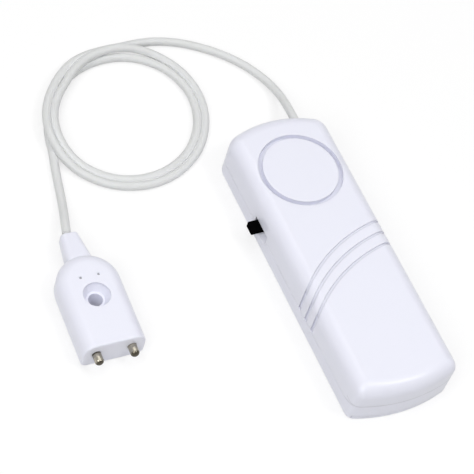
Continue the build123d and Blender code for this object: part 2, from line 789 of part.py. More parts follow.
# Resistors lying on the board, waisted bodies on bent leads
with BuildPart() as resistors:
    for place in resistor_places:
        middle = Vector(*on_board(place), board_top + resistor_diameter / 2)
        with BuildSketch(Plane(origin=middle - Vector(resistor_length / 2, 0, 0), z_dir=(1, 0, 0))):
            Circle(resistor_diameter / 2)
        extrude(amount=resistor_length)
        for side in (-1, 1):
            foot = middle + Vector(side * (resistor_length / 2 + 0.7), 0, 0)
            with BuildSketch(Plane.XY.offset(board_top)):
                with Locations((foot.X, foot.Y)):
                    Rectangle(leg_width, leg_width)
            extrude(amount=resistor_diameter / 2 + leg_width / 2)
            with BuildSketch(Plane.XY.offset(board_top + resistor_diameter / 2 - leg_width / 2)):
                with Locations(((foot.X + middle.X) / 2, foot.Y)):
                    Rectangle(resistor_length / 2 + 0.7, leg_width)
            extrude(amount=leg_width)
resistors.part.label = "resistors"

# Sounder: brass plate in its seat, ceramic disc under it, and two leads to the board
with BuildPart() as sounder_plate:
    with BuildSketch(Plane.XY.offset(inner_top - plate_thickness)):
        with Locations((0, ring_y)):
            Circle(plate_diameter / 2)
    extrude(amount=plate_thickness)
sounder_plate.part.label = "sounder_plate"

with BuildPart() as sounder_ceramic:
    with BuildSketch(Plane.XY.offset(inner_top - plate_thickness - ceramic_thickness)):
        with Locations((0, ring_y)):
            Circle(ceramic_diameter / 2)
    extrude(amount=ceramic_thickness)
sounder_ceramic.part.label = "sounder_ceramic"

plate_face = inner_top - plate_thickness
ceramic_solder = (-lead_diameter, ring_y - ceramic_diameter / 2 + 1.5 * lead_diameter)
plate_reach = (plate_diameter + ceramic_diameter) / 4
plate_solder = (-plate_reach * sin(radians(solder_angle)),
                ring_y - plate_reach * cos(radians(solder_angle)))
with BuildPart() as sounder_leads:
    for start, face, place in (
        (ceramic_solder, plate_face - ceramic_thickness, ceramic_lead_place),
        (plate_solder, plate_face, plate_lead_place),
    ):
        end = on_board(place)
        add(round_wire(wire_path([
            (*start, face), (*start, face - lead_drop),
            (*end, board_top + lead_drop), (*end, board_top)], lead_bend), lead_diameter))
sounder_leads.part.label = "sounder_leads"

# Battery leads from the two tabs to the board
lead_height = deck_top + tab_rise / 2
lead_lane = column_x - (column_diameter + lead_diameter) / 2 - lead_clear
left_end, right_end = (on_board(place) for place in battery_lead_places)
with BuildPart() as battery_leads:
    add(round_wire(wire_path([
        (top_tab[0], top_tab[1] + contact_sheet / 2, lead_height),
        (top_tab[0], top_tab[1] + lead_run, lead_height),
        (lead_shift - lead_lane, block_top_y + column_diameter, lead_height),
        (*left_end, lead_height), (*left_end, board_top)], lead_bend), lead_diameter))
    add(round_wire(wire_path([
        (side_tab[0] + contact_sheet / 2, side_tab[1], lead_height),
        (side_tab[0] + lead_run, side_tab[1], lead_height),
        (lead_lane, block_top_y, lead_height),
        (*right_end, lead_height), (*right_end, board_top)], lead_bend), lead_diameter))
battery_leads.part.label = "battery_leads"

# Cable end in the case, its tie behind the saddle and its two cores
with BuildPart() as case_cable_end:
    with BuildSketch(Plane.XZ.offset(-exit_stub)):
        with Locations((exit_x, exit_z)):
            Circle(cable_diameter / 2)
    extrude(amount=exit_stub - jacket_end)
case_cable_end.part.label = "case_cable_end"

tie_y = saddle_y - saddle_thickness / 2 - door_play
with BuildPart() as cable_tie:
    with BuildSketch(Plane.XZ.offset(-tie_y)):
        with Locations((exit_x, exit_z)):
            Circle(cable_diameter / 2 + tie_sheet)
        with Locations((exit_x, exit_z + cable_diameter / 2 + tie_sheet)):
            Rectangle(tie_block, 2 * tie_sheet)
        with Locations((exit_x, exit_z)):
            Circle(cable_diameter / 2 + 0.05, mode=Mode.SUBTRACT)
    extrude(amount=tie_width)
cable_tie.part.label = "cable_tie"

core_side = core_diameter / 2 + 0.05
with BuildPart() as cable_cores:
    for side, place in zip((-1, 1), core_places):
        end = on_board(place)
        add(round_wire(wire_path([
            (exit_x + side * core_side, jacket_end, exit_z),
            (exit_x + side * core_side, jacket_end - core_run, exit_z),
            (*end, exit_z), (*end, board_top),
        ], lead_bend), core_diameter))
cable_cores.part.label = "cable_cores"

# Probe planes: level at a height, and across the probe at a length
probe_plane = Plane(
    origin=(probe_x, probe_y, 0),
    x_dir=Vector(1, 0, 0).rotate(Axis.Z, probe_turn), z_dir=(0, 0, 1))
probe_axis = Axis(probe_plane.origin, probe_plane.y_dir)
probe_half = probe_width / 2


def across(y):
    """Upright plane across the probe at length y, its normal towards the pins."""
    return Plane(
        origin=probe_plane.from_local_coords(Vector(0, y, 0)),
        x_dir=probe_plane.x_dir, z_dir=-probe_plane.y_dir)


def probe_outline(height, inset):
    """Probe outline with its domed end, drawn in by inset, on the level at height."""
    half = probe_half - inset
    with BuildSketch(probe_plane.offset(height)) as outline:
        with BuildLine():
            Polyline((-half, probe_straight), (-half, inset), (half, inset), (half, probe_straight))
            ThreePointArc((half, probe_straight), (0, probe_straight + half), (-half, probe_straight))
        make_face()
    return outline.sketch


# Probe shell: domed housing with a tapered neck, a sunk screw hole and bores for the pins
with BuildPart() as probe_shell:
    extrude(probe_outline(0, 0), amount=probe_height)
    fillet(probe_shell.faces().sort_by(Axis.Z)[-1].edges().sort_by(probe_axis)[1:], probe_shoulder)
    fillet(probe_shell.faces().sort_by(Axis.Z)[0].edges().sort_by(probe_axis)[1:],
           probe_base_round)
    fillet(probe_shell.faces().sort_by(probe_axis)[0].edges(), probe_end_round)
    with BuildSketch(across(neck_start)):
        with Locations((0, neck_z)):
            RectangleRounded(neck_root_width, neck_root_height, neck_round)
    with BuildSketch(across(neck_tip)):
        with Locations((0, neck_z)):
            RectangleRounded(neck_tip_width, neck_tip_height, neck_round)
    loft()
    fillet(probe_shell.faces().sort_by(probe_axis)[-1].edges(), 0.5)
    # Hollow, closed below by the cover
    extrude(probe_outline(0, probe_wall), amount=probe_height - probe_roof, mode=Mode.SUBTRACT)
    extrude(probe_outline(0, cover_ledge), amount=cover_thickness, mode=Mode.SUBTRACT)
    # Column round the screw hole and block round the pins
    with BuildSketch(probe_plane.offset(cover_thickness)):
        with Locations((0, mount_hole_y)):
            Circle(mount_column / 2)
        with Locations((0, (probe_wall + pin_block - 0.02) / 2)):
            Rectangle(probe_width - 2 * probe_wall, pin_block - probe_wall + 0.02)
    extrude(amount=probe_height - probe_roof - cover_thickness + 0.2)
    # Screw hole: short wall, cone, ledge and bore
    with BuildSketch(across(mount_hole_y)):
        with BuildLine():
            Polyline(
                (0, -1), (mount_hole / 2, -1),
                (mount_hole / 2, probe_height - mount_step_depth),
                (mount_step / 2, probe_height - mount_step_depth),
                (mount_sink / 2, probe_height - mount_sink_wall),
                (mount_sink / 2, probe_height + 1), (0, probe_height + 1), close=True,
            )
        make_face()
    revolve(axis=Axis(probe_plane.from_local_coords(Vector(0, mount_hole_y, 0)), (0, 0, 1)),
            mode=Mode.SUBTRACT)
    # Two dimples over the hole
    with BuildSketch(probe_plane.offset(probe_height)):
        with Locations((-dimple_half, dimple_y), (dimple_half, dimple_y)):
            Circle(dimple_diameter / 2)
    extrude(amount=-dimple_depth, mode=Mode.SUBTRACT)
    # Bores of the pins and of the cable
    with BuildSketch(across(pin_block + 0.1)):
        with Locations((-pin_pitch / 2, pin_z), (pin_pitch / 2, pin_z)):
            Circle(pin_diameter / 2 + pin_play)
    extrude(amount=pin_block + 1, mode=Mode.SUBTRACT)
    with BuildSketch(across(neck_tip + 1)):
        with Locations((0, neck_z)):
            Circle(cable_diameter / 2 + neck_play)
    extrude(amount=neck_tip + 1 - probe_straight - 2, mode=Mode.SUBTRACT)
probe_shell.part.label = "probe_shell"

# Probe cover: flush plate in the back
with BuildPart() as probe_cover:
    extrude(probe_outline(0, cover_ledge + cover_play), amount=cover_thickness)
    with BuildSketch(probe_plane):
        with Locations((0, mount_hole_y)):
            Circle(mount_hole / 2)
    extrude(amount=cover_thickness, mode=Mode.SUBTRACT)
probe_cover.part.label = "probe_cover"

# Contact pins: round rods with domed ends and a flange behind the block
with BuildPart() as contact_pins:
    with BuildSketch(across(pin_inside)):
        with Locations((-pin_pitch / 2, pin_z), (pin_pitch / 2, pin_z)):
            Circle(pin_diameter / 2)
    extrude(amount=pin_inside + pin_reach)
    fillet(contact_pins.faces().group_by(probe_axis)[0].edges(), pin_diameter * 0.42)
    with BuildSketch(across(pin_block + pin_flange_thickness)):
        with Locations((-pin_pitch / 2, pin_z), (pin_pitch / 2, pin_z)):
            Circle(pin_flange / 2)
    extrude(amount=pin_flange_thickness)
contact_pins.part.label = "contact_pins"

# Cable end in the probe and its two cores
with BuildPart() as probe_cable_end:
    with BuildSketch(across(probe_stub)):
        with Locations((0, neck_z)):
            Circle(cable_diameter / 2)
    extrude(amount=probe_stub - probe_jacket_end)
probe_cable_end.part.label = "probe_cable_end"

with BuildPart() as probe_cores:
    for side in (-1, 1):
        local = [
            (side * core_side, probe_jacket_end, neck_z),
            (side * core_side, probe_jacket_end - 1.0, neck_z),
            (side * core_detour, probe_straight - 1.0, neck_z),
            (side * core_detour, mount_hole_y - 4.5, neck_z),
            (side * pin_pitch / 2, pin_inside + 1.8, pin_z),
            (side * pin_pitch / 2, pin_inside, pin_z),
        ]
        points = [tuple(probe_plane.from_local_coords(Vector(*p))) for p in local]
        add(round_wire(wire_path(points, lead_bend), core_diameter))
probe_cores.part.label = "probe_cores"


def coil_point(turns):
    """Centre of the cable after this many turns: in on the table, up a layer, and out again."""
    if turns <= 1:
        radius, height = coil_radius - coil_pitch * turns, 0
    elif turns <= 1.5:
        part = turns - 1
        radius = coil_radius - coil_pitch * (1 + part - 2 * part**2)
        height = layer_step * (1 - cos(2 * pi * part)) / 2
    else:
        radius, height = coil_radius - coil_pitch * (2.5 - turns), layer_step
    angle = radians(coil_start) + 2 * pi * turns
    return Vector(coil_x - radius * cos(angle), coil_y + radius * sin(angle),
                  cable_diameter / 2 + height)


def coil_heading(turns):
    """Direction of the cable after this many turns."""
    step = 0.0005
    before, after = max(turns - step, 0), min(turns + step, coil_turns)
    return (coil_point(after) - coil_point(before)).normalized()


def biarc(start, heading, end, end_heading):
    """Two tangent arcs from one point and direction to another."""
    across_line, both = end - start, heading + end_heading
    bend = 2 * (1 - heading.dot(end_heading))
    lean = across_line.dot(both)
    reach = (sqrt(lean**2 + bend * across_line.dot(across_line)) - lean) / bend
    first, second = start + heading * reach, end - end_heading * reach
    joint = (first + second) * 0.5
    return [TangentArc(start, joint, tangent=heading),
            TangentArc(joint, end, tangent=(second - first).normalized())]


# Coil of the cable: one unbroken tube in two layers, with a straight end at each side
marks = [coil_turns * k / coil_quarters for k in range(coil_quarters + 1)]
coil_in = coil_point(0) - coil_heading(0) * cable_diameter
coil_out = coil_point(coil_turns) + coil_heading(coil_turns) * cable_diameter
with BuildPart() as cable_coil:
    with BuildLine() as coil_path:
        Line(coil_in, coil_point(0))
        for a, b in zip(marks, marks[1:]):
            biarc(coil_point(a), coil_heading(a), coil_point(b), coil_heading(b))
        Line(coil_point(coil_turns), coil_out)
    with BuildSketch(Plane(origin=coil_in, z_dir=coil_heading(0))):
        Circle(cable_diameter / 2)
    sweep(path=coil_path.line)
cable_coil.part.label = "cable_coil"

steps = [coil_point(coil_turns * k / 800) for k in range(801)]
apart = min((a - b).length for i, a in enumerate(steps) for b in steps[i + 200:])
print("coil: least gap to itself %.2f mm" % (apart - cable_diameter))
print("coil: volume %.1f, section times length %.1f" % (
    cable_coil.part.volume, pi * cable_diameter**2 / 4 * coil_path.wire().length))


def cable_tube(name, points):
    """Free stretch of the cable, each arc as large as its two runs allow."""
    radii = []
    for a, b, c in zip(points, points[1:], points[2:]):
        before, after = Vector(*b) - Vector(*a), Vector(*c) - Vector(*b)
        turn = radians(before.get_angle(after))
        radii.append(0.45 * min(before.length, after.length) / tan(turn / 2))
    with BuildLine() as path:
        FilletPolyline(*points, radius=radii)
    tube = round_wire(path.line, cable_diameter)
    length = path.wire().length
    print("%s: radii %s, length %.1f, volume %.1f, section times length %.1f" % (
        name, ", ".join("%.0f" % r for r in radii), length, tube.volume,
        pi * cable_diameter**2 / 4 * length))
    return tube


# Free stretches: from the neck of the probe to the coil, and from the coil to the case
neck_mouth = probe_plane.from_local_coords(Vector(0, probe_stub, neck_z))
neck_ahead = probe_plane.from_local_coords(Vector(0, probe_stub + 6, neck_z))
rest = cable_diameter / 2
before_coil = coil_in - coil_heading(0) * 7
after_coil = coil_out + coil_heading(coil_turns) * 6.5
with BuildPart() as cable_probe_side:
    add(cable_tube("probe side", [
        tuple(neck_mouth), tuple(neck_ahead), (-66.3, 44.8, 2.4), (-63.4, 53.0, rest),
        tuple(before_coil), tuple(coil_in)]))
cable_probe_side.part.label = "cable_probe_side"

with BuildPart() as cable_case_side:
    add(cable_tube("case side", [
        tuple(coil_out), tuple(after_coil), (-17.2, 88.6, 3.1), (-8.9, 86.3, 1.9),
        (-1.0, 82.4, rest), (6.9, 75.6, rest), (11.3, 67.0, 1.9), (11.9, 59.0, 4.1),
        (exit_x, exit_stub + 6, exit_z), (exit_x, exit_stub, exit_z)]))
cable_case_side.part.label = "cable_case_side"

pieces = [
    front_shell, rear_shell, battery_door, door_contact, button_cells, battery_contacts,
    circuit_board, switch_can, switch_base, switch_terminals, switch_knob, board_screws,
    case_screws, chip_drop, coil_core, coil_winding, drive_transistor, capacitor, resistors,
    sounder_plate, sounder_ceramic, sounder_leads, battery_leads, case_cable_end, cable_tie,
    cable_cores, probe_shell, probe_cover, contact_pins, probe_cable_end, probe_cores,
    cable_coil, cable_probe_side, cable_case_side,
]
for piece in pieces:
    export_step(piece.part, "parts/" + piece.part.label + ".step")
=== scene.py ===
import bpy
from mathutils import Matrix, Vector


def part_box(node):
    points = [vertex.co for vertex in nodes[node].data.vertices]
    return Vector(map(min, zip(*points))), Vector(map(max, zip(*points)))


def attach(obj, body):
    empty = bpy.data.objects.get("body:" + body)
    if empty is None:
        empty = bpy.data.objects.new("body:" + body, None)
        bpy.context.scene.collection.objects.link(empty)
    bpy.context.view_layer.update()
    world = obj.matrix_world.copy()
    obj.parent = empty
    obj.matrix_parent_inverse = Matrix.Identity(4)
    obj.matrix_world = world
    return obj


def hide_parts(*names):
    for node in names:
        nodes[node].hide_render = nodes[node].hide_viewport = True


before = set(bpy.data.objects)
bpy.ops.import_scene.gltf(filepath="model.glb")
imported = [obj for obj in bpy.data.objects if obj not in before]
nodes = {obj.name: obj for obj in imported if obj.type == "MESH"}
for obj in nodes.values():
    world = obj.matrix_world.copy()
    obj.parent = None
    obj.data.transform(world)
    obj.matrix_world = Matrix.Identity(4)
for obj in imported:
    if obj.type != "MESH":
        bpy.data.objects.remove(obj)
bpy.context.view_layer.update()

import math
import bmesh
import bpy
from mathutils import Matrix, Vector

# The view. The alarm lies on its back on a pale table and is seen from half a metre away, from
# above its lower left corner, with the picture turned so that the loop of cable is at the top.
view_place = (-0.22104, -0.22006, 0.41804)
view_right = Vector((0.894451, -0.399204, 0.201484)).normalized()
view_back = Vector((-0.384863, -0.457860, 0.801402)).normalized()
view_up = view_back.cross(view_right).normalized()
view_right = view_up.cross(view_back)


def place_new(name, data):
    """A new object of the scene, with its mesh, curve, lamp or camera."""
    placed = bpy.data.objects.new(name, data)
    bpy.context.scene.collection.objects.link(placed)
    return placed


camera = place_new("camera", bpy.data.cameras.new("camera"))
camera.data.sensor_width = 36.0
camera.data.lens = 141.0
camera.data.clip_start = 0.01
camera.data.clip_end = 20.0
camera.matrix_world = Matrix.Translation(view_place) @ Matrix((
    (view_right.x, view_up.x, view_back.x, 0),
    (view_right.y, view_up.y, view_back.y, 0),
    (view_right.z, view_up.z, view_back.z, 0),
    (0, 0, 0, 1)))
bpy.context.scene.camera = camera


# The cable: a round two-core cable in soft pale grey vinyl, 2.5 mm thick. It comes out of the
# arched end of the case, drops to the table, makes two turns and a bit in a loose ring and runs
# straight into the neck of the probe, where it is glued. The route is in millimetres.
cable_diameter = 0.0025
mm_per_metre = 1000
lying = 1.25    # height of its middle where it lies on the table
loop_middle = (-35.0, 65.8)
case_run = [
    (10.5, 46.0, 6.2), (10.5, 49.6, 6.2), (11.0, 54.0, 5.3), (12.0, 60.0, 3.0),
    (11.2, 67.2, 1.5), (7.2, 75.0, lying), (0.8, 81.7, lying), (-7.4, 87.3, lying),
    (-15.0, 90.2, lying), (-21.5, 91.0, lying)]
# degrees round the ring from the side of the probe, distance from its middle, height
loop_turns = [
    (828, 26.35, lying), (817, 25.35, 1.3), (805, 24.5, 1.9), (793, 23.95, 2.6),
    (781, 23.35, 3.2), (769, 22.95, 3.4), (757, 23.0, 3.4), (744, 23.5, 3.4),
    (731, 24.2, 3.6), (719, 24.85, 3.8), (708, 25.4, 3.5), (695, 25.6, 1.9),
    (680, 25.7, lying), (660, 25.6, lying), (638, 24.9, lying), (616, 23.9, lying),
    (594, 23.15, lying), (572, 23.05, lying), (550, 23.6, lying), (530, 24.45, lying),
    (510, 25.4, lying), (492, 25.7, 1.5), (479, 25.15, 2.6), (468, 24.3, 3.5),
    (456, 23.4, 3.8), (444, 22.5, 3.85), (432, 21.7, 3.85), (420, 20.9, 3.7),
    (408, 20.3, 3.5), (396, 20.55, 3.4), (384, 21.15, 3.3), (372, 21.85, 3.4),
    (360, 22.5, 3.3), (347, 23.1, 2.6), (332, 23.25, 1.4), (318, 23.2, lying),
    (304, 23.2, lying), (286, 22.7, lying), (264, 21.75, lying), (242, 21.0, lying),
    (220, 20.65, lying), (198, 20.95, lying), (178, 21.6, lying), (160, 22.25, lying),
    (142, 22.75, lying), (124, 22.75, lying), (108, 22.4, lying), (94, 21.95, lying),
    (80, 21.6, lying), (66, 21.45, lying), (50, 21.5, lying), (36, 21.9, lying),
    (22, 22.5, lying), (8, 23.6, lying), (-3, 24.9, lying)]
probe_run = [
    (-60.35, 60.3, lying), (-61.9, 54.0, lying), (-63.3, 47.0, lying), (-64.7, 40.8, 1.9),
    (-66.6, 35.2, 4.0), (-67.96, 30.3, 4.5)]
route = list(case_run)
for degrees, reach, height in loop_turns:
    turned = math.radians(degrees)
    route.append((loop_middle[0] - reach * math.cos(turned),
                  loop_middle[1] + reach * math.sin(turned), height))
route += probe_run

line = bpy.data.curves.new("cable", "CURVE")
line.dimensions = "3D"
line.bevel_depth = cable_diameter / 2
line.bevel_resolution = 7
line.resolution_u = 10
line.use_fill_caps = True
strand = line.splines.new("NURBS")
strand.points.add(len(route) - 1)
for point, (x, y, z) in zip(strand.points, route):
    point.co = (x / mm_per_metre, y / mm_per_metre, z / mm_per_metre, 1)
strand.order_u = 3
strand.use_endpoint_u = True
strand.use_smooth = True
cable = place_new("cable", line)


def shared_surface(name, inputs):
    """A node group for a kind of surface: its inputs, and colour, roughness and height out."""
    group = bpy.data.node_groups.new(name, "ShaderNodeTree")
    for socket_name, kind, value in inputs:
        socket = group.interface.new_socket(
            socket_name, in_out="INPUT", socket_type="NodeSocket" + kind)
        socket.default_value = value
    for socket_name, kind in (("Colour", "Color"), ("Roughness", "Float"), ("Height", "Float")):
        group.interface.new_socket(socket_name, in_out="OUTPUT", socket_type="NodeSocket" + kind)
    return group


def put(tree, socket, value):
    """Sets a socket to a number, or links another node's output to it."""
    if isinstance(value, (int, float)):
        socket.default_value = value
    else:
        tree.links.new(value, socket)


def work_out(tree, operation, *values):
    """The result of one sum on numbers or on other nodes' outputs."""
    step = tree.nodes.new("ShaderNodeMath")
    step.operation = operation
    for socket, value in zip(step.inputs, values):
        put(tree, socket, value)
    return step.outputs[0]


def mottle(tree, place, scale, detail):
    """A shade that wanders softly over a surface, about a half."""
    noise = tree.nodes.new("ShaderNodeTexNoise")
    noise.inputs["Detail"].default_value = detail
    tree.links.new(place, noise.inputs["Vector"])
    put(tree, noise.inputs["Scale"], scale)
    return noise.outputs["Fac"]


def tinted(tree, colour, strength):
    """A colour, made darker or lighter by a strength."""
    scaled = tree.nodes.new("ShaderNodeVectorMath")
    scaled.operation = "SCALE"
    tree.links.new(colour, scaled.inputs[0])
    tree.links.new(strength, scaled.inputs["Scale"])
    return scaled.outputs[0]


cloud_detail, grain_detail = 3.0, 2.0


def moulded_skin():
    """Shared surface of moulded and extruded plastic: faint clouding, uneven gloss, fine grain."""
    group = shared_surface("moulded skin", (
        ("Colour", "Color", (0.8, 0.8, 0.8, 1)), ("Cloud", "Float", 0.02),
        ("Cloud Size", "Float", 60.0), ("Gloss", "Float", 0.35), ("Gloss Change", "Float", 0.05),
        ("Grain Size", "Float", 2500.0), ("Grain Depth", "Float", 0.02)))
    given = group.nodes.new("NodeGroupInput").outputs
    result = group.nodes.new("NodeGroupOutput").inputs
    place = group.nodes.new("ShaderNodeTexCoord").outputs["Object"]
    cloud = work_out(group, "SUBTRACT", mottle(group, place, given["Cloud Size"], cloud_detail),
                     0.5)
    tone = work_out(group, "MULTIPLY_ADD", cloud, given["Cloud"], 1.0)
    gloss = work_out(group, "MULTIPLY_ADD", cloud, given["Gloss Change"], given["Gloss"])
    grain = mottle(group, place, given["Grain Size"], grain_detail)
    group.links.new(tinted(group, given["Colour"], tone), result["Colour"])
    group.links.new(gloss, result["Roughness"])
    group.links.new(work_out(group, "MULTIPLY", grain, given["Grain Depth"]), result["Height"])
    return group


skin = moulded_skin()


def finish_from(surface, name, colour, relief, values):
    """A material whose colour, roughness and fine relief come from a shared surface."""
    made = bpy.data.materials.new(name)
    made.use_nodes = True
    made.diffuse_color = (*colour, 1)
    tree = made.node_tree
    shader = tree.nodes["Principled BSDF"]
    own = tree.nodes.new("ShaderNodeGroup")
    own.node_tree = surface
    own.inputs["Colour"].default_value = (*colour, 1)
    for socket_name, value in values.items():
        own.inputs[socket_name].default_value = value
    bump = tree.nodes.new("ShaderNodeBump")
    bump.inputs["Distance"].default_value = relief
    bump.inputs["Strength"].default_value = 1.0
    tree.links.new(own.outputs["Colour"], shader.inputs["Base Color"])
    tree.links.new(own.outputs["Roughness"], shader.inputs["Roughness"])
    tree.links.new(own.outputs["Height"], bump.inputs["Height"])
    tree.links.new(bump.outputs["Normal"], shader.inputs["Normal"])
    return made


skin_relief = 0.0002
scatter_scale = 0.001


def plastic(name, colour, gloss, gloss_change, cloud, cloud_size, grain_size, grain_depth,
            subsurface=0.0, radius=(1, 1, 1)):
    """A plastic of this object: the shared moulded skin under a plain shader."""
    made = finish_from(skin, name, colour, skin_relief, {
        "Cloud": cloud, "Cloud Size": cloud_size, "Gloss": gloss, "Gloss Change": gloss_change,
        "Grain Size": grain_size, "Grain Depth": grain_depth})
    if subsurface:
        shader = made.node_tree.nodes["Principled BSDF"]
        shader.inputs["Subsurface Weight"].default_value = subsurface
        shader.inputs["Subsurface Radius"].default_value = radius
        shader.inputs["Subsurface Scale"].default_value = scatter_scale
    return made


def node_of(finish, kind):
    """The one node of a kind in a material."""
    return next(node for node in finish.node_tree.nodes if node.type == kind)


def mixed(tree, share, plain, marked):
    """A colour that goes from plain to marked as share goes from 0 to 1."""
    mix = tree.nodes.new("ShaderNodeMix")
    mix.data_type = "RGBA"
    tree.links.new(share, mix.inputs["Factor"])
    for socket_name, colour in (("A", plain), ("B", marked)):
        if isinstance(colour, tuple):
            mix.inputs[socket_name].default_value = (*colour, 1)
        else:
            tree.links.new(colour, mix.inputs[socket_name])
    return mix.outputs["Result"]


def mark(finish, share, plain=None, marked=None):
    """Colours a material by a share; of plain and marked, the one not given is its own colour."""
    tree = finish.node_tree
    own = node_of(finish, "GROUP").outputs["Colour"]
    shown = mixed(tree, share, plain or own, marked or own)
    tree.links.new(shown, tree.nodes["Principled BSDF"].inputs["Base Color"])


# Soft vinyl lets a little light through, and the creases between its turns are painted pale:
# painted light over the shade that the turns cast on each other.
cable_vinyl = plastic("pale grey vinyl", (0.690, 0.698, 0.698), gloss=0.45, gloss_change=0.08,
                      cloud=0.05, cloud_size=90.0, grain_size=1400.0, grain_depth=0.03,
                      subsurface=0.7, radius=(1.6, 1.6, 1.5))
painted_crease_light_colour, crease_reach = (0.92, 0.93, 0.93), 0.0012
# painted light: the vinyl is coloured paler where its own turns shade it, within crease_reach
painted_crease_light = cable_vinyl.node_tree.nodes.new("ShaderNodeAmbientOcclusion")
painted_crease_light.samples = 8
painted_crease_light.only_local = True
painted_crease_light.inputs["Distance"].default_value = crease_reach
mark(cable_vinyl, painted_crease_light.outputs["AO"], plain=painted_crease_light_colour)
cable.data.materials.append(cable_vinyl)
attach(cable, "alarm")
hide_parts("cable_probe_side", "cable_coil", "cable_case_side")


# Ends of the cable: the same vinyl where it goes through the end wall of the case and through
# the neck of the probe, where it is held.
cable_ends = ("case_cable_end", "probe_cable_end")


def dress(finish, *names):
    """Gives CAD nodes their finish."""
    for name in names:
        nodes[name].data.materials.clear()
        nodes[name].data.materials.append(finish)


dress(cable_vinyl, *cable_ends)


# Tie and cores: a nylon tie grips the jacket behind its saddle, and the two white cores run on to
# the circuit board and, at the other end of the cable, to the pins of the probe.
tie_nylon = plastic("natural nylon tie", (0.74, 0.73, 0.66), gloss=0.42, gloss_change=0.1,
                    cloud=0.05, cloud_size=240.0, grain_size=3200.0, grain_depth=0.03)
dress(tie_nylon, "cable_tie")
core_white = plastic("white core insulation", (0.80, 0.80, 0.78), gloss=0.34, gloss_change=0.08,
                     cloud=0.04, cloud_size=180.0, grain_size=2600.0, grain_depth=0.02)
dress(core_white, "cable_cores", "probe_cores")


# Case and probe housings: moulded in a hard white plastic with a cold tint, and a soft skin that
# lets a little light through. The two shells, the battery door, the probe and its cover are one
# material, with painted shade darkening their grooves, dimples and lower joint.
housing_white = plastic("cold white housing", (0.815, 0.822, 0.915), gloss=0.29,
                        gloss_change=0.05, cloud=0.012, cloud_size=35.0, grain_size=900.0,
                        grain_depth=0.010, subsurface=0.25)
housing_tree = housing_white.node_tree


def split(finish, source, output):
    """X, Y and Z of a place or direction that a new node gives in a material."""
    tree = finish.node_tree
    parts = tree.nodes.new("ShaderNodeSeparateXYZ")
    tree.links.new(tree.nodes.new(source).outputs[output], parts.inputs[0])
    return parts.outputs


housing_at = split(housing_white, "ShaderNodeTexCoord", "Object")


def housing_sum(operation, *values):
    """The result of one sum in the housing's material."""
    return work_out(housing_tree, operation, *values)


def highest(tree, first, *others):
    """The highest of some masks or shares."""
    for other in others:
        first = work_out(tree, "MAXIMUM", first, other)
    return first


def round_groove(middle_x, middle_y, radius, half_width):
    """1 where a point of the housing lies, in plan, within half_width of a circle."""
    off_x = housing_sum("SUBTRACT", housing_at["X"], middle_x)
    off_y = housing_sum("SUBTRACT", housing_at["Y"], middle_y)
    away = housing_sum("SQRT", housing_sum("ADD", housing_sum("MULTIPLY", off_x, off_x),
                                           housing_sum("MULTIPLY", off_y, off_y)))
    off_circle = housing_sum("ABSOLUTE", housing_sum("SUBTRACT", away, radius))
    return housing_sum("LESS_THAN", off_circle, half_width)


def above(floor, mask):
    """A mask of the housing, kept only higher than a floor."""
    return housing_sum("MULTIPLY", mask, housing_sum("GREATER_THAN", housing_at["Z"], floor))


# three curved grooves, across the flat front and over its shoulders
groove_middle_x, groove_middles_y = 0.0214, (-0.0452, -0.0490, -0.0528)
groove_radius, groove_half_width = 0.0505, 0.00041
front_level = 0.0136      # height above which it is the flat front
shoulder_level = 0.0262   # height and distance from the middle line together, on a shoulder
grooves = [round_groove(groove_middle_x, middle_y, groove_radius, groove_half_width)
           for middle_y in groove_middles_y]
from_middle = housing_sum("ABSOLUTE", housing_at["X"])
on_front = housing_sum("GREATER_THAN", housing_at["Z"], front_level)
on_shoulder = housing_sum("GREATER_THAN", housing_sum("ADD", housing_at["Z"], from_middle),
                          shoulder_level)
curved = housing_sum("MULTIPLY", highest(housing_tree, *grooves),
                     highest(housing_tree, on_front, on_shoulder))

ring_middle, ring_radius, ring_half_width, ring_floor = (0.0, 0.02655), 0.01165, 0.00066, 0.01285
sounder_ring = above(ring_floor, round_groove(*ring_middle, ring_radius, ring_half_width))

dimple_middles = ((-0.071105, 0.013376), (-0.066008, 0.013198))
dimple_radius, dimple_floor = 0.00036, 0.004
dimples = above(dimple_floor, highest(housing_tree, *(
    round_groove(*middle, 0.0, dimple_radius) for middle in dimple_middles)))

joint_level, joint_half_width, joint_start = 0.0067, 0.00014, -0.0400
off_joint = housing_sum("ABSOLUTE", housing_sum("SUBTRACT", housing_at["Z"], joint_level))
end_joint = housing_sum("MULTIPLY", housing_sum("LESS_THAN", housing_at["Y"], joint_start),
                        housing_sum("LESS_THAN", off_joint, joint_half_width))

# painted shade: the grooves, the sounder ring, the dimples and the lower joint are coloured darker
# where shade falls in them
painted_shade_colour = (0.05, 0.05, 0.045)
curved_shade, ring_shade, dimple_shade, joint_shade = 0.16, 0.10, 0.62, 0.16
painted_shade = housing_sum("MULTIPLY", curved, curved_shade)
for hollow, share in ((sounder_ring, ring_shade), (dimples, dimple_shade), (end_joint, joint_shade)):
    painted_shade = housing_sum("ADD", painted_shade, housing_sum("MULTIPLY", hollow, share))
mark(housing_white, painted_shade, marked=painted_shade_colour)

edge_radius = 0.00018
soft_edge = housing_tree.nodes.new("ShaderNodeBevel")
soft_edge.samples = 6
soft_edge.inputs["Radius"].default_value = edge_radius
housing_tree.links.new(soft_edge.outputs["Normal"],
                       node_of(housing_white, "BUMP").inputs["Normal"])
dress(housing_white, "front_shell", "rear_shell", "battery_door", "probe_shell", "probe_cover")


